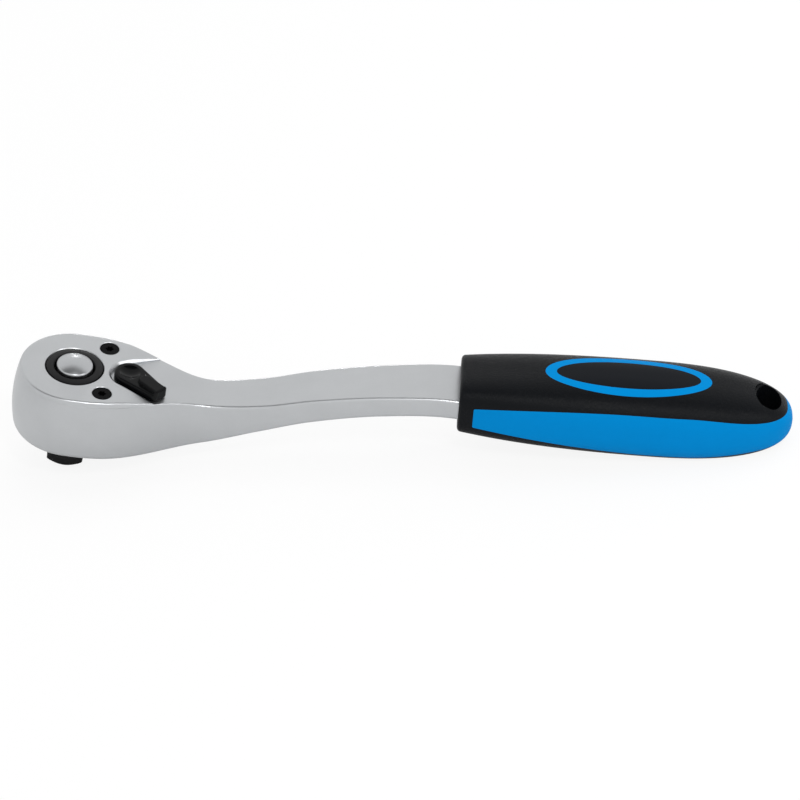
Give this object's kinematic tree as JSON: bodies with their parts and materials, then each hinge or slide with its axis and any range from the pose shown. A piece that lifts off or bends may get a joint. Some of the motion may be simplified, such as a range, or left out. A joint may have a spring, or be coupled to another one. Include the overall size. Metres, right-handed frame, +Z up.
{
  "type": "reversible ratchet",
  "caption": "Reversible ratchet wrench with a pear-shaped head, quick-release drive square, thumb lever, cranked shank and two-colour moulded grip with a hang hole.",
  "frame": {"origin": "centre of the drive square's tip face", "axes": "+Z up the drive axis from the square's tip to the release button, +X along the handle, +Y to the left"},
  "size_m": [0.2728, 0.0416, 0.0715],
  "materials": {
    "satin_chrome": "satin chrome plate",
    "black_oxide": "black phosphated steel",
    "black_rubber": "matte",
    "bright_steel": "ground steel",
    "black_lever": "semi-gloss black",
    "button_chrome": "satin chrome",
    "black_grip": "fine-grained matte",
    "blue_grip": "smooth satin",
    "black_panel": "smooth satin"
  },
  "bodies": {
    "handle": {"body": "satin_chrome", "cover_plate": "satin_chrome", "cover_screw_left": "black_oxide", "cover_screw_right": "black_oxide", "thrust_washer": "bright_steel", "grip_core": "black_grip", "grip_band": "blue_grip", "grip_oval_ring": "blue_grip", "grip_oval_panel": "black_panel"},
    "drive": {"drive_gear": "black_oxide", "drag_ring": "black_rubber", "release_spring": "bright_steel"},
    "button": {"release_button": "button_chrome", "release_rod": "bright_steel"},
    "ball": {"lock_ball": "bright_steel"},
    "lever": {"reversing_lever": "black_lever", "lever_clip": "bright_steel", "lever_spring": "bright_steel"},
    "plunger": {"lever_plunger": "bright_steel"},
    "pawl": {"pawl": "black_oxide"}
  },
  "joints": [
    {"name": "drive_spin", "type": "hinge", "parent": "handle", "child": "drive", "pos_m": [0, 0, 0.0262], "axis": [0, 0, 1], "continuous": true},
    {"name": "button_press", "type": "slide", "parent": "drive", "child": "button", "axis": [0, 0, -1], "range_m": [0, 0.0025], "stiffness_N_per_m": 900, "springref_m": -0.003, "deforming": ["release_spring"]},
    {"name": "ball_retract", "type": "slide", "parent": "drive", "child": "ball", "axis": [-1, 0, 0], "range_m": [0, 0.0012]},
    {"name": "lever_turn", "type": "hinge", "parent": "handle", "child": "lever", "pos_m": [0.0195, 0, 0.0384], "axis": [0, 0, 1], "range_deg": [0, 78]},
    {"name": "pawl_rock", "type": "hinge", "parent": "handle", "child": "pawl", "pos_m": [0.0195, 0, 0.0258], "axis": [0, 0, 1], "range_deg": [-6, 0]},
    {"name": "plunger_slide", "type": "slide", "parent": "lever", "child": "plunger", "axis": [0.7771, -0.6293, 0], "range_m": [0, 0.00025], "stiffness_N_per_m": 1500, "springref_m": -0.001}
  ],
  "couplings": [
    {"joint": "ball_retract", "follows": "button_press", "ratio": 0.48},
    {"joint": "pawl_rock", "follows": "lever_turn", "ratio": -0.076923}
  ]
}
